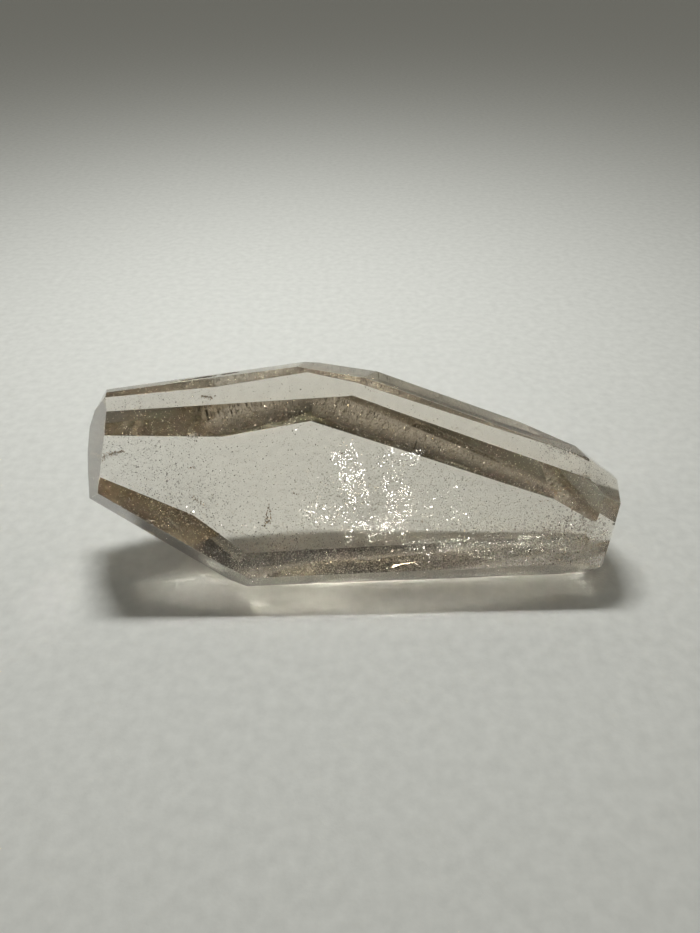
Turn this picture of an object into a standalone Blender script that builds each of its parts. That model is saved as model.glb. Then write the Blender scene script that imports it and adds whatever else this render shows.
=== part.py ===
"""A polished quartz scepter crystal, lying on one of its long side faces.

The crystal is one solid with flat faces only.  A wide head at -X narrows to a slimmer
stem at +X, so that from the front it has the outline of a coffin.  It is modelled the
way a stone is ground: a rough block is cut back by one flat facet after another.
The floor is the plane z = 0, and the origin lies on it, under the middle of the crystal.
"""

from math import cos, radians, sin

import bmesh
import bpy
from mathutils import Matrix, Vector

MM = 0.001

# Driving dimensions, in millimetres.
CRYSTAL_LENGTH = 102.5
ROUGH_BLOCK = (140.0, 80.0, 60.0)

# The facet chart gives distances for a crystal of this length.
CHART_LENGTH = 102.5

# Sides of the stone that most facets face, as compass bearings in degrees:
# 0 faces the front (-Y), 90 the stem end (+X), 180 the back (+Y) and -90 the head end (-X).
FRONT = 0.0
STEM_END = 90.0
BACK = 180.0
HEAD_END = -90.0

# One row for each facet: its name, its bearing, its rise and its distance from the origin.
# The rise is how far its outward normal points above the horizontal, in degrees; a facet
# that leans out over the floor has a negative rise.

# The two large faces.  The front table leans back and the back table leans out over the
# floor behind it, so the stone is thickest near its upper edge.
TABLES = (
    ("front table", FRONT + 1.5, 20.0, 15.5),
    ("back table", BACK + 5.0, -30.0, 5.6),
)

# The narrow faces along the lower edge.  The foot itself is the plane that the stone
# rests on; in front of it runs one long bevel, and two shorter ones turn up to the head.
LOWER_BEVELS = (
    ("long front bevel", FRONT + 3.0, -33.5, 6.9),
    ("corner bevel under the shoulder", FRONT - 26.0, -26.0, 15.6),
    ("bevel under the head", FRONT - 29.0, -25.5, 16.5),
    ("undercut behind the foot", HEAD_END - 14.0, -55.5, 12.3),
    ("undercut below the head", HEAD_END - 14.5, -36.5, 28.5),
)

# The faces along the upper edge meet at the shoulder, just left of the middle.  The
# crown faces are almost level; a thin sliver runs behind each, and broad slopes fall
# from there to the back table.
UPPER_FACES = (
    ("crown of the head", FRONT - 12.5, 79.5, 39.4),
    ("crown of the stem", FRONT + 51.0, 67.5, 37.3),
    ("sliver behind the head crown", BACK + 18.0, 67.5, 41.0),
    ("sliver behind the shoulder", BACK - 19.5, 70.0, 39.2),
    ("sliver behind the stem crown", BACK - 57.5, 66.0, 38.4),
    ("back slope of the head", BACK + 12.0, 26.5, 28.4),
    ("back slope of the stem", BACK - 13.5, 23.5, 24.4),
)

# The head end is a wedge between a narrow bevel at the front and a slanted back face,
# which leans out over the floor as the back table does.
HEAD_FACES = (
    ("head bevel", HEAD_END + 21.5, 19.0, 50.2),
    ("head corner", HEAD_END + 5.0, 33.0, 56.6),
    ("slanted back of the head", HEAD_END - 68.0, -22.0, 15.1),
)

# The stem ends in a blunt cluster of small faces.
STEM_FACES = (
    ("top of the stem end", STEM_END - 22.5, 45.0, 47.4),
    ("sliver behind the stem end", STEM_END + 22.0, 49.5, 45.7),
    ("upper front of the stem end", STEM_END - 58.0, 12.5, 34.6),
    ("lower front of the stem end", STEM_END - 59.0, 9.5, 33.5),
    ("end face of the stem", STEM_END - 4.0, -6.5, 48.2),
    ("undercut of the stem end", STEM_END - 5.0, -17.0, 45.3),
    ("back corner of the stem end", STEM_END + 62.0, 27.0, 31.8),
)

FACETS = TABLES + LOWER_BEVELS + UPPER_FACES + HEAD_FACES + STEM_FACES

# Clear quartz with a faint smoky, straw-coloured cast.
QUARTZ_COLOUR = (0.80, 0.77, 0.70, 1.0)
QUARTZ_ROUGHNESS = 0.03
QUARTZ_IOR = 1.544


def clear_scene():
    """Remove every object that the file opened with."""
    for thing in list(bpy.data.objects):
        bpy.data.objects.remove(thing, do_unlink=True)


def facet_normal(bearing, rise):
    """Unit vector out of a facet, from its compass bearing and its rise in degrees."""
    flat = cos(radians(rise))
    across = sin(radians(bearing)) * flat
    toward_back = -cos(radians(bearing)) * flat
    return Vector((across, toward_back, sin(radians(rise))))


def rough_block(bm, scale):
    """The uncut block: its underside is the foot face, on the floor plane."""
    width, depth, height = (side * MM * scale for side in ROUGH_BLOCK)
    bmesh.ops.create_cube(bm, size=1.0)
    bmesh.ops.scale(bm, vec=(width, depth, height), verts=bm.verts)
    bmesh.ops.translate(bm, vec=(0.0, 0.0, height / 2), verts=bm.verts)


def grind(bm, normal, distance):
    """Cut away all that lies beyond one plane, and close the cut with a flat facet."""
    everything = list(bm.verts) + list(bm.edges) + list(bm.faces)
    cut = bmesh.ops.bisect_plane(
        bm, geom=everything, dist=1e-7,
        plane_co=normal * distance, plane_no=normal, clear_outer=True)
    rim = [item for item in cut["geom_cut"] if isinstance(item, bmesh.types.BMEdge)]
    bmesh.ops.holes_fill(bm, edges=rim, sides=0)


def quartz_material():
    """Clear, polished quartz."""
    material = bpy.data.materials.new("clear quartz")
    material.use_nodes = True
    shader = material.node_tree.nodes["Principled BSDF"]
    shader.inputs["Base Color"].default_value = QUARTZ_COLOUR
    shader.inputs["Roughness"].default_value = QUARTZ_ROUGHNESS
    shader.inputs["Metallic"].default_value = 0.0
    shader.inputs["IOR"].default_value = QUARTZ_IOR
    shader.inputs["Transmission Weight"].default_value = 1.0
    return material


def quartz_scepter():
    """Grind the block down to the finished crystal."""
    scale = CRYSTAL_LENGTH / CHART_LENGTH
    bm = bmesh.new()
    rough_block(bm, scale)
    for _name, bearing, rise, distance in FACETS:
        grind(bm, facet_normal(bearing, rise), distance * MM * scale)
    bmesh.ops.recalc_face_normals(bm, faces=bm.faces)
    mesh = bpy.data.meshes.new("quartz_scepter")
    bm.to_mesh(mesh)
    bm.free()
    mesh.materials.append(quartz_material())
    crystal = bpy.data.objects.new("quartz_scepter", mesh)
    crystal.matrix_world = Matrix.Identity(4)
    bpy.context.collection.objects.link(crystal)
    return crystal


clear_scene()
quartz_scepter()
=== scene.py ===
# %% [markdown]
# # A polished quartz scepter on a sheet of white paper
#
# The stone is one clear crystal with flat faces.  Nearly everything that the eye sees in it
# is the paper below and the dim room behind, bent by the stone.  So this lesson spends its
# effort on four things: true facets, a see-through material with the right numbers, a lamp in
# the right place, and the small flaws that grow inside a natural crystal.

# %% The frame: the measured solid that everything here is built around
import math

import bmesh
import bpy
import numpy as np
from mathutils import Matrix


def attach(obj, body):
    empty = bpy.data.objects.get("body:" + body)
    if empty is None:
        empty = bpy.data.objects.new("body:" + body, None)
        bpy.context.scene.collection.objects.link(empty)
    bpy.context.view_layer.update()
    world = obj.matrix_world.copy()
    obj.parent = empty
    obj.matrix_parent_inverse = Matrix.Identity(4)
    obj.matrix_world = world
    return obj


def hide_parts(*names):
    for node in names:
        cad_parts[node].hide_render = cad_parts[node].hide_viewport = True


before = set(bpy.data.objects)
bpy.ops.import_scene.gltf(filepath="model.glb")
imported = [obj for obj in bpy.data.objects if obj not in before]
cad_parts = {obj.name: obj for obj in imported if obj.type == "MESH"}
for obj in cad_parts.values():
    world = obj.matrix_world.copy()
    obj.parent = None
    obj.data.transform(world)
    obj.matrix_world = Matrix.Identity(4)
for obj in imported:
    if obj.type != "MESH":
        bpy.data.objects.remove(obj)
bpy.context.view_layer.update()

MM = 0.001
BODY = "root"
NODE = "quartz_scepter"


# %% [markdown]
# Colours are written the way a paint chart gives them, as sRGB hex.  Shaders add up light, so
# they need linear numbers, and one function makes that change for every colour in the file.
# Materials are small networks of nodes, and one more function adds a node, sets its sockets
# and links it to the nodes that feed it.

# %% Colour and node helpers
def linear(hex_colour):
    """sRGB hex to linear RGBA: divide by 12.92 near black, elsewhere a power of 2.4."""
    parts = np.array([int(hex_colour[i:i + 2], 16) / 255 for i in (1, 3, 5)])
    near_black = parts / 12.92
    elsewhere = ((parts + 0.055) / 1.055) ** 2.4
    return (*np.where(parts <= 0.04045, near_black, elsewhere).tolist(), 1.0)


def node(tree, kind, links=None, **settings):
    """Add one node, set its properties or sockets by name, and link outputs to its sockets."""
    made = tree.nodes.new(kind)
    for name, value in settings.items():
        socket = made.inputs.get(name.replace("_", " "))
        if socket is None:
            setattr(made, name, value)
        else:
            socket.default_value = value
    for socket_name, output in (links or {}).items():
        tree.links.new(output, made.inputs[socket_name])
    return made


def new_material(name):
    """A material with an empty node tree."""
    material = bpy.data.materials.new(name)
    material.use_nodes = True
    material.node_tree.nodes.clear()
    return material, material.node_tree


print("middle grey as linear numbers:", [round(v, 3) for v in linear("#808080")[:3]])


# %% [markdown]
# The camera stands in front and looks down at the stone from close by, as a phone does.
# A close camera matters for a clear stone: each facet is seen at its own angle, and that
# angle decides whether the eye looks through the stone or meets a mirror inside it.

# %% Camera
CAMERA_PLACE = (0.0, -104.0 * MM, 104.0 * MM)
CAMERA_LOOKS_DOWN = 38.0
FOCAL_LENGTH_PIXELS = 701.0
PICTURE_HEIGHT_PIXELS = 933.0
SENSOR_HEIGHT = 36.0
NEAREST_SEEN, FARTHEST_SEEN = 0.01, 20.0

camera_data = bpy.data.cameras.new("camera")
# In an upright picture Blender's sensor_width is measured along the height.
camera_data.sensor_width = SENSOR_HEIGHT
camera_data.lens = SENSOR_HEIGHT * FOCAL_LENGTH_PIXELS / PICTURE_HEIGHT_PIXELS
camera_data.clip_start, camera_data.clip_end = NEAREST_SEEN, FARTHEST_SEEN
camera = bpy.data.objects.new("camera", camera_data)
camera.location = CAMERA_PLACE
camera.rotation_euler = (math.radians(90.0 - CAMERA_LOOKS_DOWN), 0.0, 0.0)
bpy.context.collection.objects.link(camera)
bpy.context.scene.camera = camera
print("lens in mm:", round(camera_data.lens, 2))


# %% [markdown]
# The paper is the second actor.  It is uncoated, so it has no shine, and its fibres make
# faint soft clouds.  It lies a hair below the stone: where two surfaces share one plane, a
# renderer cannot tell which comes first, and light would be lost between them.

# %% Paper
PAPER_HALF_WIDTH = 3.0
PAPER_GAP = 0.1 * MM
FIBRE_CLOUD = 2.4 * MM
FIBRE_GRAIN = 0.5 * MM
FELT_STRENGTH = 0.25
FELT_HEIGHT = 0.08 * MM


def paper_surface():
    """Uncoated drawing paper: matt, with soft clouds of fibre and a fine felt grain."""
    material, tree = new_material("uncoated drawing paper, felt side")
    place = node(tree, "ShaderNodeTexCoord").outputs["Object"]
    clouds = node(tree, "ShaderNodeTexNoise", {"Vector": place}, Scale=1 / FIBRE_CLOUD, Detail=5.0)
    tint = node(tree, "ShaderNodeMix", {"Factor": clouds.outputs["Fac"]}, data_type="RGBA")
    tint.inputs["A"].default_value = linear("#d4d6d0")
    tint.inputs["B"].default_value = linear("#eff1eb")
    grain = node(tree, "ShaderNodeTexNoise", {"Vector": place}, Scale=1 / FIBRE_GRAIN, Detail=2.0)
    felt = node(tree, "ShaderNodeBump", {"Height": grain.outputs["Fac"]},
                Strength=FELT_STRENGTH, Distance=FELT_HEIGHT)
    shader = node(tree, "ShaderNodeBsdfPrincipled",
                  {"Base Color": tint.outputs["Result"], "Normal": felt.outputs["Normal"]},
                  Roughness=0.9, Specular_IOR_Level=0.2)
    node(tree, "ShaderNodeOutputMaterial", {"Surface": shader.outputs["BSDF"]})
    return material


paper_grid = bmesh.new()
bmesh.ops.create_grid(paper_grid, x_segments=1, y_segments=1, size=PAPER_HALF_WIDTH)
paper_mesh = bpy.data.meshes.new("paper")
paper_grid.to_mesh(paper_mesh)
paper_grid.free()
paper_mesh.materials.append(paper_surface())
paper = bpy.data.objects.new("paper", paper_mesh)
paper.location.z = -PAPER_GAP
bpy.context.collection.objects.link(paper)
print("paper width in m:", round(2 * max(corner.co.x for corner in paper_mesh.vertices), 2))


# %% [markdown]
# One bar of soft light hangs above and behind the stone, almost in the plane of the big front
# face.  Light from there enters through the top, is mirrored off the back faces and comes out
# at the foot, so some light falls into the shadow in front of the stone.

# %% Lamp
LAMP_PLACE = (-31.0 * MM, 89.0 * MM, 291.0 * MM)
LAMP_SIZE = (100.0 * MM, 28.0 * MM)
LAMP_LEANS_BACK = 12.0
LAMP_WATTS = 0.63

lamp_data = bpy.data.lights.new("bar lamp", "AREA")
lamp_data.shape = "RECTANGLE"
lamp_data.size, lamp_data.size_y = LAMP_SIZE
lamp_data.energy = LAMP_WATTS
lamp = bpy.data.objects.new("bar lamp", lamp_data)
lamp.location = LAMP_PLACE
lamp.rotation_euler.x = math.radians(LAMP_LEANS_BACK)
bpy.context.collection.objects.link(lamp)

bpy.context.scene.view_settings.view_transform = "Standard"
print("lamp height in mm:", round(LAMP_PLACE[2] / MM))


# %% [markdown]
# The room is the third actor.  The mirrors inside the stone show it at a height of about 45
# degrees, in front of the table and behind it, so that is where its walls are pale.  The
# rest is dim: what the inner mirrors show must be darker than the paper, or the stone would
# have no shape, and its shadow would be washed out.

# %% Room
WALLS_DIM = linear("#353533")
WALLS_PALE = linear("#b4b1aa")
# How pale the walls are, from 0 to 1, by the height of a view line that is one long.
PALE_BY_HEIGHT = ((0.0, 0.0), (0.28, 0.0), (0.60, 1.0), (0.77, 1.0), (1.0, 0.0))
# The walls that are pale face this way, or the opposite way, along the ground.
PALE_WAY = (-0.276, -0.961, 0.0)
PALE_STARTS, PALE_FULL = 0.22, 0.52

room = bpy.data.worlds.new("dim room with pale upper walls")
room.use_nodes = True
room_tree = room.node_tree
view_line = node(room_tree, "ShaderNodeTexCoord").outputs["Generated"]
view_height = node(room_tree, "ShaderNodeSeparateXYZ", {"Vector": view_line}).outputs["Z"]
high = node(room_tree, "ShaderNodeValToRGB", {"Fac": view_height})
high.color_ramp.interpolation = "EASE"
for step, (height, paleness) in enumerate(PALE_BY_HEIGHT):
    stops = high.color_ramp.elements
    stop = stops[step] if step < len(stops) else stops.new(height)
    stop.position, stop.color = height, (paleness, paleness, paleness, 1.0)
along = node(room_tree, "ShaderNodeVectorMath", {0: view_line}, operation="DOT_PRODUCT")
along.inputs[1].default_value = PALE_WAY
either_way = node(room_tree, "ShaderNodeMath", {0: along.outputs["Value"]}, operation="ABSOLUTE")
faced = node(room_tree, "ShaderNodeMapRange", {"Value": either_way.outputs["Value"]})
faced.inputs["From Min"].default_value = PALE_STARTS
faced.inputs["From Max"].default_value = PALE_FULL
share = node(room_tree, "ShaderNodeMath", {0: high.outputs["Color"], 1: faced.outputs["Result"]},
             operation="MULTIPLY")
walls = node(room_tree, "ShaderNodeMix", {"Factor": share.outputs["Value"]}, data_type="RGBA")
walls.inputs["A"].default_value = WALLS_DIM
walls.inputs["B"].default_value = WALLS_PALE
room_tree.links.new(walls.outputs["Result"], room_tree.nodes["Background"].inputs["Color"])
bpy.context.scene.world = room
print("stops in the height ramp:", len(high.color_ramp.elements))


# %% [markdown]
# A white card stands well off to the right, in front of the stone and above it.  A lit card
# acts as a wide and very weak lamp, so it is made as an area light that faces the stone.

# %% White card
CARD_PLACE = (790.0 * MM, -550.0 * MM, 280.0 * MM)
CARD_SIZE = (360.0 * MM, 110.0 * MM)
CARD_WATTS = 0.09

card_data = bpy.data.lights.new("white card", "AREA")
card_data.shape = "RECTANGLE"
card_data.size, card_data.size_y = CARD_SIZE
card_data.energy = CARD_WATTS
card = bpy.data.objects.new("white card", card_data)
card.location = CARD_PLACE
card.rotation_euler = card.location.to_track_quat("Z", "Y").to_euler()
bpy.context.collection.objects.link(card)
print("card's share of the lamps' watts:", round(CARD_WATTS / (CARD_WATTS + LAMP_WATTS), 3))


# %% [markdown]
# Light inside a cut stone bounces many times before it finds a face that lets it out, and the
# bright patches on the paper are light that passed through the stone.  The usual short cuts
# of a renderer (few bounces, blurred and clipped highlights) would turn both into darkness.

# %% Light paths long enough for a faceted stone
paths = bpy.context.scene.cycles
paths.max_bounces = 32
paths.glossy_bounces = 24
paths.transmission_bounces = 32
paths.blur_glossy = 0.0
paths.sample_clamp_indirect = 0.0
print("bounces allowed inside the stone:", paths.transmission_bounces)


# %% [markdown]
# Quartz bends light with an index of 1.544.  Its faint straw and smoke colour is not paint
# on the surface: it builds up with depth, so it belongs in the volume, as an absorption per
# metre.  The polish is good but done by hand, so each face is very slightly uneven.

# %% Quartz
QUARTZ_IOR = 1.544
SMOKE_COLOUR = linear("#e4dccb")
SMOKE_PER_METRE = 28.0
POLISH_WAVE = 9.0 * MM
POLISH_WAVE_HEIGHT = 0.02 * MM


def quartz_surface():
    """Clear, faintly smoky quartz, polished: see-through, with colour that grows with depth."""
    material, tree = new_material("smoky quartz, hand polished")
    place = node(tree, "ShaderNodeTexCoord").outputs["Object"]
    wave = node(tree, "ShaderNodeTexNoise", {"Vector": place}, Scale=1 / POLISH_WAVE, Detail=1.0)
    uneven = node(tree, "ShaderNodeBump", {"Height": wave.outputs["Fac"]},
                  Strength=1.0, Distance=POLISH_WAVE_HEIGHT)
    surface = node(tree, "ShaderNodeBsdfPrincipled", {"Normal": uneven.outputs["Normal"]},
                   Base_Color=(1.0, 1.0, 1.0, 1.0), Roughness=0.0, IOR=QUARTZ_IOR,
                   Transmission_Weight=1.0)
    smoke = node(tree, "ShaderNodeVolumeAbsorption", Color=SMOKE_COLOUR, Density=SMOKE_PER_METRE)
    node(tree, "ShaderNodeOutputMaterial",
         {"Surface": surface.outputs["BSDF"], "Volume": smoke.outputs["Volume"]})
    return material


print("light is held inside beyond", round(math.degrees(math.asin(1 / QUARTZ_IOR)), 1), "degrees")


# %% [markdown]
# The stone keeps the measured facets.  The solid comes in triangles, so those that lie in one
# plane are joined first.  The planes are kept too: they tell later how deep a point lies.

# %% The stone's facets as planes
SAME_POINT = 0.001 * MM
SAME_PLANE_DEGREES = 0.2

stone_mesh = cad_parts[NODE].data.copy()
stone = bmesh.new()
stone.from_mesh(stone_mesh)
bmesh.ops.remove_doubles(stone, verts=stone.verts, dist=SAME_POINT)
bmesh.ops.dissolve_limit(stone, angle_limit=math.radians(SAME_PLANE_DEGREES),
                         verts=stone.verts, edges=stone.edges)
face_normals = np.array([face.normal for face in stone.faces])
face_depths = np.array([face.normal.dot(face.verts[0].co) for face in stone.faces])
print("facets:", len(face_depths))


def depth_below_surface(points):
    """How far each point lies inside the stone: the least distance to any facet's plane."""
    return (face_depths[None, :] - points @ face_normals.T).min(axis=1)


# %% [markdown]
# Polishing takes the keenness off every edge, so each edge gets a narrow rounded bevel.

# %% Soft edges
EDGE_BEVEL = 0.12 * MM
BEVEL_STEPS = 2
ROUND_PROFILE = 0.5

bmesh.ops.bevel(stone, geom=list(stone.edges), offset=EDGE_BEVEL, offset_type="WIDTH",
                segments=BEVEL_STEPS, profile=ROUND_PROFILE, affect="EDGES", clamp_overlap=True)
bmesh.ops.recalc_face_normals(stone, faces=stone.faces)
print("faces after bevel:", len(stone.faces))
stone.to_mesh(stone_mesh)
stone.free()
stone_mesh.materials.clear()
stone_mesh.materials.append(quartz_surface())
crystal = bpy.data.objects.new("polished_crystal", stone_mesh)
bpy.context.collection.objects.link(crystal)
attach(crystal, BODY)
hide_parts(NODE)


# %% [markdown]
# Handling has chipped the stone in a few places, and quartz breaks in shell-shaped scoops.
# A scoop is a ball stretched three ways, with ripples in its skin.

# %% A scoop
SCOOP_AROUND = 20
SCOOP_DOWN = 12
# Ripples: how fast they follow each other down from the pole, in radians for each radian,
# how deep they are as a share of the radius, and how far the first may be shifted.
RIPPLE_RATE = 9.0
RIPPLE_DEPTH = 0.05
RIPPLE_SHIFT = 6
LOPSIDEDNESS = 0.06


def scoop(centre, radii, turn, seed):
    """A closed bowl: a ball on a grid of two angles, its radius rippled in rings from one pole."""
    draw = np.random.default_rng(seed)
    around = np.linspace(0.0, 2 * math.pi, SCOOP_AROUND, endpoint=False)
    down = np.linspace(0.0, math.pi, SCOOP_DOWN + 1)[1:-1]
    around, down = np.meshgrid(around, down)
    rings = RIPPLE_DEPTH * np.cos(RIPPLE_RATE * down + draw.uniform(0, RIPPLE_SHIFT))
    ripple = 1.0 + rings + LOPSIDEDNESS * np.cos(2 * around + down)
    ball = np.stack([np.sin(down) * np.cos(around), np.sin(down) * np.sin(around), np.cos(down)], -1)
    ball = (ball * ripple[..., None]).reshape(-1, 3)
    points = np.concatenate([ball, [[0, 0, 1.0], [0, 0, -1.0]]]) * np.array(radii)
    cos_turn, sin_turn = math.cos(turn), math.sin(turn)
    spin = np.array([[cos_turn, -sin_turn, 0], [sin_turn, cos_turn, 0], [0, 0, 1]])
    points = points @ spin.T + np.array(centre)
    rows, columns = around.shape
    index = np.arange(rows * columns).reshape(rows, columns)
    after = np.roll(index, -1, axis=1)
    quads = np.stack([index[:-1], index[1:], after[1:], after[:-1]], -1).reshape(-1, 4)
    top, bottom = rows * columns, rows * columns + 1
    caps = [(top, a, b) for a, b in zip(index[0], after[0])]
    caps += [(bottom, b, a) for a, b in zip(index[-1], after[-1])]
    return points, [tuple(q) for q in quads.tolist()] + [tuple(int(v) for v in c) for c in caps]


print("faces of a scoop:", len(scoop((0, 0, 0), (1, 1, 1), 0.0, 0)[1]))


# %% [markdown]
# Each chip is a scoop set near an edge.  Four lie in a row on the upper back edge of the head,
# and three of those are the largest of all.  Two scoops by the upper edge of the stem end lie
# just outside the stone and cut nothing, so that edge stays whole but for one graze.

# %% Chips
# Each chip: its middle, its half sizes along, across and down, and its turn about the
# vertical.  All in millimetres and degrees.  A chip's number is the seed of its ripples.
CHIPS = (
    ((-26.4, 5.6, 38.9), (2.4, 1.1, 1.1), 16.0),
    ((-21.9, 6.8, 39.0), (1.8, 0.9, 0.9), 16.0),
    ((-29.4, 4.6, 38.8), (1.2, 0.8, 0.8), 16.0),
    ((-31.6, 4.2, 38.8), (0.8, 0.4, 0.4), 16.0),
    ((41.6, 1.6, 27.1), (1.3, 0.8, 0.7), -20.0),  # outside the stone
    ((39.3, 2.1, 28.1), (0.9, 0.6, 0.5), -10.0),  # outside the stone
    ((44.1, 0.4, 25.9), (0.8, 0.8, 0.6), 30.0),
    ((-36.4, -11.1, 18.2), (1.5, 0.7, 0.9), 32.0),
    ((44.4, -12.0, 8.4), (0.8, 0.6, 0.6), 60.0),
    ((46.5, -9.6, 6.1), (0.7, 0.6, 0.7), 40.0),
    ((-18.9, -14.3, 7.3), (0.7, 0.5, 0.5), 20.0),
)

cutters = []
for seed, (middle, half_sizes, turn) in enumerate(CHIPS):
    scoop_points, scoop_faces = scoop(middle, half_sizes, math.radians(turn), seed)
    cutter_mesh = bpy.data.meshes.new("chip")
    cutter_mesh.from_pydata((scoop_points * MM).tolist(), [], scoop_faces)
    cutter = bpy.data.objects.new("chip", cutter_mesh)
    bpy.context.collection.objects.link(cutter)
    cut = crystal.modifiers.new("chip", "BOOLEAN")
    cut.operation = "DIFFERENCE"
    cut.object = cutter
    cutters.append(cutter)
bpy.context.view_layer.update()
cut_crystal = crystal.evaluated_get(bpy.context.evaluated_depsgraph_get())
chipped = bpy.data.meshes.new_from_object(cut_crystal)
crystal.modifiers.clear()
crystal.data = chipped
for cutter in cutters:
    bpy.data.objects.remove(cutter)
print("faces after the chips:", len(chipped.polygons))


# %% [markdown]
# Inside, the crystal is full of small things that were sealed in as it grew: dust, tiny
# hollows, and veils, which are cracks that healed and kept a film of bubbles.  All of them
# are made the same way, as crumbs.  A crumb is a crooked double pyramid with eight faces, or
# a splinter with four where it is too small for more to be seen.
# Thousands are built at once, as whole arrays, and joined into one mesh for each kind.

# %% Crumbs
# A shape is its corners, one long from the middle, and its faces by corner number.
PYRAMIDS = (np.array([(1, 0, 0), (-1, 0, 0), (0, 1, 0), (0, -1, 0), (0, 0, 1), (0, 0, -1)], float),
            np.array([(0, 2, 4), (2, 1, 4), (1, 3, 4), (3, 0, 4),
                      (2, 0, 5), (1, 2, 5), (3, 1, 5), (0, 3, 5)]))
SPLINTER = (np.array([(1, 1, 1), (1, -1, -1), (-1, 1, -1), (-1, -1, 1)]) / math.sqrt(3),
            np.array([(0, 1, 2), (0, 3, 1), (0, 2, 3), (1, 3, 2)]))
LEAST_COVER = 0.35 * MM
# Each corner is drawn in or out by a factor in this range.
CROOKEDNESS = (0.6, 1.3)
# The standard deviation of a cloud or a streak, as a share of its stated radius or width.
SPREAD = 0.5


def random_turns(count, draw):
    """Rotation matrices with no favoured direction, from random unit quaternions."""
    q = draw.normal(size=(count, 4))
    w, x, y, z = (q / np.linalg.norm(q, axis=1)[:, None]).T
    rows = [[1 - 2 * (y * y + z * z), 2 * (x * y - z * w), 2 * (x * z + y * w)],
            [2 * (x * y + z * w), 1 - 2 * (x * x + z * z), 2 * (y * z - x * w)],
            [2 * (x * z - y * w), 2 * (y * z + x * w), 1 - 2 * (x * x + y * y)]]
    return np.array(rows).transpose(2, 0, 1)


def turns_facing(facing, scatter, count, draw):
    """Rotation matrices whose third axis points a given way, give or take a random lean."""
    third = facing + scatter * draw.normal(size=(count, 3))
    third /= np.linalg.norm(third, axis=1)[:, None]
    first = np.cross(third, draw.normal(size=(count, 3)))
    first /= np.linalg.norm(first, axis=1)[:, None]
    return np.stack([first, np.cross(third, first), third], axis=2)


def crumbs(name, places, sizes, flatness, material, draw, facing=None, scatter=0.0, shape=PYRAMIDS):
    """One mesh of crooked crumbs, one at each place that lies inside the stone."""
    inside = depth_below_surface(places) > LEAST_COVER + sizes
    places, sizes = places[inside], sizes[inside]
    facing = facing if facing is None else facing[inside]
    count = len(places)
    corners, corner_faces = shape
    crooked = corners[None] * draw.uniform(*CROOKEDNESS, (count, len(corners), 1))
    crooked *= np.array([1.0, 1.0, flatness])
    turns = random_turns(count, draw) if facing is None else turns_facing(facing, scatter, count, draw)
    turned = np.einsum("nij,nkj->nki", turns, crooked)
    points = places[:, None] + turned * sizes[:, None, None]
    faces = corner_faces[None] + len(corners) * np.arange(count)[:, None, None]
    mesh = bpy.data.meshes.new(name)
    mesh.from_pydata(points.reshape(-1, 3).tolist(), [], faces.reshape(-1, 3).tolist())
    mesh.materials.append(material)
    piece = bpy.data.objects.new(name, mesh)
    bpy.context.collection.objects.link(piece)
    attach(piece, BODY)
    print(name, count, "crumbs,", len(mesh.polygons), "faces")
    return piece


def sizes_between(smallest, largest, count, draw):
    """Sizes with many small and few large: the smallest plus a cubed random share of the rest."""
    return (smallest + (largest - smallest) * draw.random(count) ** 3) * MM


def clouds(specs, smallest, draw):
    """Places and sizes in soft balls: each ball has a middle, radii, a count and a largest size."""
    places, sizes = [], []
    for centre, radii, count, largest in specs:
        spread = draw.normal(size=(count, 3)) * np.array(radii) * SPREAD
        places.append((np.array(centre) + spread) * MM)
        sizes.append(sizes_between(smallest, largest, count, draw))
    return np.concatenate(places), np.concatenate(sizes)


def streak(start, end, width, count, draw, taper=0.0):
    """Places along a line, spread sideways; taper narrows the spread towards the start."""
    along = draw.random(count)
    spread = width * (1 - taper + taper * along)
    line = np.array(start) + along[:, None] * (np.array(end) - np.array(start))
    return (line + draw.normal(size=(count, 3)) * spread[:, None] * SPREAD) * MM


print("faces of a pyramid and of a splinter:", len(PYRAMIDS[1]), len(SPLINTER[1]))


# %% [markdown]
# Dark dust is grit of other minerals, and it shows best against the bright paper.  One cloud
# of the same grit is painted shade: it fills the chips on the upper back edge of the head with
# the darkness of the dim room that those chips mirror.

# %% Dark dust and painted chip shade
DUST_SEED = 11
DUST_SMALLEST = 0.03
DUST_FLATNESS = 0.4
DUST_PATCHES_PER_MM = 0.3


def dust_and_chip_shade_surface():
    """Fine mineral grit, dull and dark brown, as clay and iron oxide are; one cloud is painted chip
    shade.
    """
    material, tree = new_material("dark mineral grit, unpolished, and painted chip shade")
    place = node(tree, "ShaderNodeTexCoord").outputs["Object"]
    patches = node(tree, "ShaderNodeTexNoise", {"Vector": place}, Scale=DUST_PATCHES_PER_MM / MM)
    tint = node(tree, "ShaderNodeMix", {"Factor": patches.outputs["Fac"]}, data_type="RGBA")
    tint.inputs["A"].default_value = linear("#2b2721")
    tint.inputs["B"].default_value = linear("#6a6052")
    shader = node(tree, "ShaderNodeBsdfPrincipled", {"Base Color": tint.outputs["Result"]},
                  Roughness=0.45)
    node(tree, "ShaderNodeOutputMaterial", {"Surface": shader.outputs["BSDF"]})
    return material
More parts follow.
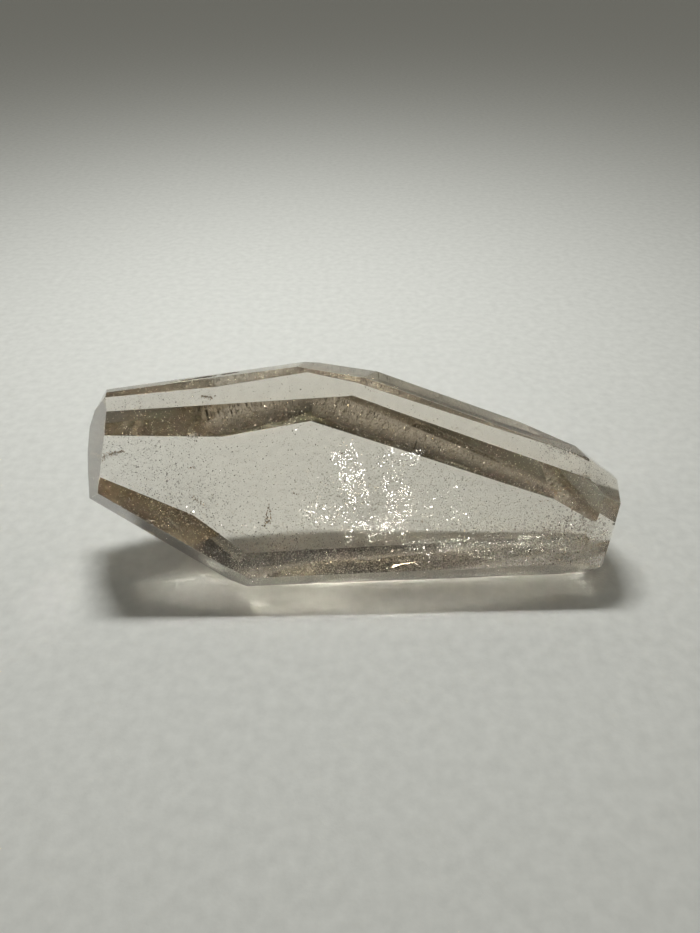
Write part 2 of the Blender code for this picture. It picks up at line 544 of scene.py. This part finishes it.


# Where the dust and the painted chip shade lie: middle and radii in millimetres, how many
# grains, and the largest.
DUST_AND_CHIP_SHADE_CLOUDS = (
    ((-40.0, 0.0, 25.0), (12.0, 12.0, 12.0), 3000, 0.13),
    ((-30.0, 1.0, 18.0), (14.0, 12.0, 8.0), 2400, 0.14),
    ((-22.0, 2.0, 30.0), (20.0, 12.0, 14.0), 900, 0.14),
    ((0.0, 3.0, 20.0), (60.0, 14.0, 24.0), 1500, 0.14),
    ((8.0, 1.0, 16.0), (12.0, 10.0, 12.0), 700, 0.14),
    ((18.0, 2.0, 17.0), (14.0, 10.0, 12.0), 1400, 0.10),
    ((-10.0, -5.0, 5.0), (26.0, 9.0, 4.0), 5600, 0.12),
    ((-17.0, -6.0, 5.0), (9.0, 8.0, 4.0), 700, 0.22),
    ((16.0, -4.0, 4.0), (20.0, 8.0, 3.0), 2600, 0.12),
    ((41.0, -6.0, 6.0), (8.0, 9.0, 5.0), 2600, 0.24),
    ((43.5, -3.5, 19.0), (5.0, 6.0, 7.0), 1500, 0.14),
    # Painted shade: dark grit under the head's top chips, for the dim room that they mirror.
    ((-25.0, 4.6, 37.6), (4.0, 0.8, 0.6), 500, 0.14),
)
draw = np.random.default_rng(DUST_SEED)
crumbs("dark_dust_and_chip_shade", *clouds(DUST_AND_CHIP_SHADE_CLOUDS, DUST_SMALLEST, draw), DUST_FLATNESS, dust_and_chip_shade_surface(), draw)


# %% [markdown]
# Tiny hollows sparkle.  A hollow is air inside quartz, so its index of refraction is one
# divided by that of quartz, and its facets mirror the lamp.  They crowd along the foot.

# %% Sparkling hollows
HOLLOW_SEED = 12
HOLLOW_SMALLEST = 0.06
HOLLOW_FLATNESS = 0.6


def hollow_surface():
    """Air sealed in quartz: clear, with the index of refraction turned upside down."""
    material, tree = new_material("air in quartz, crystal-walled hollows")
    shader = node(tree, "ShaderNodeBsdfPrincipled", Base_Color=(1.0, 1.0, 1.0, 1.0),
                  Roughness=0.0, IOR=1.0 / QUARTZ_IOR, Transmission_Weight=1.0)
    node(tree, "ShaderNodeOutputMaterial", {"Surface": shader.outputs["BSDF"]})
    return material


AIR_IN_QUARTZ = hollow_surface()
HOLLOW_CLOUDS = (
    ((-38.0, 2.0, 31.0), (12.0, 9.0, 8.0), 600, 0.20),
    ((-16.0, -7.0, 6.0), (14.0, 9.0, 6.0), 2600, 0.24),
    ((6.0, -6.0, 5.0), (24.0, 9.0, 5.0), 3000, 0.20),
    ((30.0, -5.0, 6.0), (18.0, 9.0, 6.0), 5000, 0.20),
    ((42.0, -5.0, 7.0), (8.0, 9.0, 7.0), 3400, 0.28),
    ((42.0, 0.0, 16.0), (9.0, 9.0, 10.0), 700, 0.22),
    ((-30.0, -3.0, 15.0), (12.0, 9.0, 8.0), 900, 0.22),
    ((0.0, 2.0, 22.0), (50.0, 12.0, 22.0), 700, 0.20),
    ((-27.4, -4.0, 32.8), (1.2, 1.0, 0.9), 60, 0.30),
    ((40.5, 0.5, 25.6), (5.0, 1.5, 1.4), 500, 0.25),
)
draw = np.random.default_rng(HOLLOW_SEED)
crumbs("sparkling_hollows", *clouds(HOLLOW_CLOUDS, HOLLOW_SMALLEST, draw), HOLLOW_FLATNESS,
       AIR_IN_QUARTZ, draw)


# %% [markdown]
# Between the hollows lie pale specks.  They are pits and grains with frosted walls, and they
# look white wherever the stone behind them is dark.

# %% Pale specks
SPECK_SEED = 15
SPECK_SMALLEST = 0.03
SPECK_FLATNESS = 0.7


def speck_surface():
    """Frosted grain: nearly white, half shiny, as finely pitted crystal is."""
    material, tree = new_material("pale mineral grain, frosted")
    shader = node(tree, "ShaderNodeBsdfPrincipled", Base_Color=linear("#f4f1e8"), Roughness=0.35)
    node(tree, "ShaderNodeOutputMaterial", {"Surface": shader.outputs["BSDF"]})
    return material


SPECK_CLOUDS = (
    ((-38.0, 2.0, 31.0), (14.0, 9.0, 8.0), 400, 0.14),
    ((-34.0, -3.0, 17.0), (12.0, 8.0, 7.0), 1100, 0.14),
    ((-16.0, -6.0, 5.5), (13.0, 9.0, 5.0), 3600, 0.16),
    ((8.0, -7.0, 4.5), (20.0, 8.0, 4.0), 4500, 0.14),
    ((28.0, -6.5, 5.0), (18.0, 8.0, 4.5), 10500, 0.15),
    ((42.0, -7.0, 6.5), (7.0, 8.0, 5.0), 4800, 0.24),
    ((10.0, -3.0, 12.0), (50.0, 9.0, 5.0), 1500, 0.12),
    ((11.0, -11.3, 3.2), (5.0, 1.0, 0.9), 1600, 0.12),
    ((-27.4, -4.0, 32.8), (1.2, 1.0, 0.9), 60, 0.25),
    ((41.5, 0.0, 25.4), (4.0, 1.5, 1.2), 260, 0.22),
)
draw = np.random.default_rng(SPECK_SEED)
crumbs("pale_specks", *clouds(SPECK_CLOUDS, SPECK_SMALLEST, draw), SPECK_FLATNESS,
       speck_surface(), draw)


# %% [markdown]
# The finest grains are too small to see one by one.  They turn clear quartz a little milky:
# the bright paper behind looks softer, and the dark mirrors inside look less deep.  Splinters
# of four faces do for them.

# %% Milky haze
HAZE_SEED = 16
HAZE_SMALLEST = 0.04
HAZE_FLATNESS = 1.0

HAZE_CLOUDS = (
    ((-25.0, 1.0, 22.0), (40.0, 14.0, 22.0), 5000, 0.12),
    ((8.0, 0.5, 17.0), (30.0, 12.0, 16.0), 8000, 0.14),
    ((3.0, -1.0, 15.0), (12.0, 8.0, 12.0), 6000, 0.14),
    ((22.0, -5.0, 6.5), (40.0, 9.0, 6.0), 14000, 0.13),
    ((30.0, -5.5, 9.0), (22.0, 7.0, 4.0), 9000, 0.13),
    ((36.0, -1.0, 14.0), (20.0, 10.0, 14.0), 4000, 0.12),
)
draw = np.random.default_rng(HAZE_SEED)
crumbs("milky_haze", *clouds(HAZE_CLOUDS, HAZE_SMALLEST, draw), HAZE_FLATNESS, speck_surface(),
       draw, shape=SPLINTER)


# %% [markdown]
# A veil is a crack that healed while the crystal was still growing.  It leaves a bowed sheet
# of flat air films that lie nearly level, each veil with a slightly different lean.  Where
# they mirror the lamp together the veil lights up; from elsewhere it is nearly unseen.
# Healing is patchy, so films are kept only where a slow wave is high.

# %% A veil
VEIL_BOW = 0.9
VEIL_THICKNESS = 0.25
# Two waves across the veil, as radians for each millimetre of x and of z, and the second
# one's shift.  Films are kept where the sum, made uneven by some noise, is above a level.
PATCH_WAVE = (1.9, 0.8)
CROSS_WAVE = (-0.9, 1.3)
CROSS_SHIFT = 1.0
PATCH_NOISE = 0.8
PATCH_LEVEL = -0.6


def veil(centre, along, across, count, draw):
    """Places on a bowed sheet: two half-sides, a bulge like a shallow bowl, and patchy cover."""
    u, v = draw.uniform(-1, 1, (2, count))
    normal = np.cross(along, across)
    normal = normal / np.linalg.norm(normal)
    bow = VEIL_BOW * (1 - u * u) * (1 - v * v)
    flat = np.array(centre) + u[:, None] * np.array(along) + v[:, None] * np.array(across)
    places = flat + bow[:, None] * normal + draw.normal(size=(count, 3)) * VEIL_THICKNESS
    x, z = places[:, 0], places[:, 2]
    wave = np.sin(PATCH_WAVE[0] * x + PATCH_WAVE[1] * z)
    wave += np.sin(CROSS_WAVE[0] * x + CROSS_WAVE[1] * z + CROSS_SHIFT)
    edge = np.maximum(np.abs(u), np.abs(v))
    patchy = wave + draw.normal(size=count) * PATCH_NOISE > PATCH_LEVEL
    kept = patchy & (draw.random(count) > edge ** 3)
    return places[kept] * MM


# %% [markdown]
# Eight veils hang behind the big front face, from the middle of the stone to near the stem
# end.  The films of each veil face the way given in its row, give or take a small scatter,
# and this decides what they mirror.

# %% Veils
VEIL_SEED = 13
FILM_SIZES = (0.03, 0.11)
FILM_FLATNESS = 0.03
FILM_SCATTER = 0.12

# Each veil: middle, half-side down its length, half-side across it, how many films, and the
# way that the films face.
VEILS = (
    ((0.0, 2.0, 19.8), (1.8, -2.6, -6.4), (2.5, 0.3, 0.3), 7500, (0.03, -0.17, 0.98)),
    ((9.0, 0.6, 15.0), (0.4, -2.5, -6.0), (3.0, 0.2, 0.2), 8500, (-0.01, -0.17, 0.98)),
    ((9.3, 4.2, 23.2), (4.8, 0.3, -0.6), (0.3, -0.8, -2.0), 2400, (-0.02, -0.19, 0.98)),
    ((4.6, -2.0, 10.4), (6.0, 0.2, 0.4), (0.3, -0.9, -2.9), 7500, (0.0, -0.16, 0.98)),
    ((-4.5, -0.7, 13.0), (6.0, 0.2, 0.4), (0.3, -0.9, -2.4), 2400, (0.05, -0.17, 0.98)),
    ((18.0, -0.5, 14.5), (6.0, 0.5, 0.4), (0.8, -1.6, -5.0), 2600, (-0.06, -0.16, 0.98)),
    ((19.0, -6.0, 8.6), (10.0, 0.2, 0.2), (0.3, -1.3, -2.2), 6500, (-0.05, -0.15, 0.98)),
    ((35.0, -5.0, 9.0), (8.0, 0.2, 0.3), (0.3, -1.2, -2.0), 5500, (-0.11, -0.14, 0.98)),
)
draw = np.random.default_rng(VEIL_SEED)
veil_places = [veil(*spec[:4], draw) for spec in VEILS]
films_face = np.repeat([spec[4] for spec in VEILS], [len(p) for p in veil_places], axis=0)
veil_places = np.concatenate(veil_places)
film_sizes = sizes_between(*FILM_SIZES, len(veil_places), draw)
crumbs("healed_veils", veil_places, film_sizes, FILM_FLATNESS, AIR_IN_QUARTZ, draw,
       films_face, FILM_SCATTER)


# %% [markdown]
# Open cracks are few and each has its own shape: a wedge, a speck with three arms, a bent
# stain at the head.  Each is a run of brown shards along straight streaks.  A streak may taper.

# %% Cracks
CRACK_SEED = 14
SHARD_SIZES = (0.05, 0.19)
SHARD_FLATNESS = 0.2


def crack_surface():
    """The walls of an open crack, stained brown by iron from the ground."""
    material, tree = new_material("iron-stained crack wall, rough")
    shader = node(tree, "ShaderNodeBsdfPrincipled", Base_Color=linear("#a58c68"), Roughness=0.5)
    node(tree, "ShaderNodeOutputMaterial", {"Surface": shader.outputs["BSDF"]})
    return material


# Each streak: start, end, width at the end, how many shards, and the taper towards the start.
STREAKS = (
    ((-15.1, -3.3, 17.6), (-16.1, -5.1, 13.4), 0.25, 90, 0.8),
    ((-15.1, -3.3, 17.6), (-14.7, -4.9, 14.2), 0.20, 70, 0.8),
    ((-15.4, -4.2, 15.4), (-15.4, -4.8, 14.2), 0.55, 60, 0.4),
    ((38.3, -3.4, 20.2), (36.9, -3.4, 20.8), 0.35, 30, 0.3),
    ((38.3, -3.4, 20.2), (40.3, -3.3, 21.1), 0.20, 30, -0.5),
    ((38.0, -3.4, 20.2), (37.8, -3.6, 19.4), 0.30, 25, 0.0),
    ((36.6, -3.6, 18.6), (35.2, -3.7, 18.0), 0.35, 22, 0.2),
    ((-39.6, -5.2, 30.4), (-43.2, -4.6, 29.2), 0.55, 220, 0.7),
    ((-46.6, -1.4, 28.4), (-44.6, -3.4, 28.6), 0.60, 140, 0.4),
    ((-49.3, 4.3, 22.7), (-43.4, -5.0, 28.7), 0.60, 320, 0.2),
    ((-29.5, -3.0, 19.4), (-26.6, -3.6, 17.0), 0.45, 60, 0.2),
    ((-10.8, -2.5, 19.8), (-9.4, -2.7, 18.9), 0.30, 22, 0.0),
    ((-6.2, -3.2, 16.8), (-5.5, -3.3, 16.2), 0.35, 16, 0.0),
    ((-1.8, -1.0, 27.6), (0.2, -1.6, 25.9), 0.20, 30, 0.4),
    ((11.5, -3.5, 13.5), (14.4, -3.5, 13.3), 0.25, 26, 0.0),
    ((-29.0, -2.5, 25.0), (-28.4, -2.6, 25.4), 0.25, 18, 0.0),
    ((-25.9, 0.3, 37.4), (-23.9, 0.3, 36.8), 0.55, 120, 0.2),
)
draw = np.random.default_rng(CRACK_SEED)
crack_places = np.concatenate([streak(*spec[:4], draw, spec[4]) for spec in STREAKS])
shard_sizes = sizes_between(*SHARD_SIZES, len(crack_places), draw)
crumbs("stained_cracks", crack_places, shard_sizes, SHARD_FLATNESS, crack_surface(), draw)
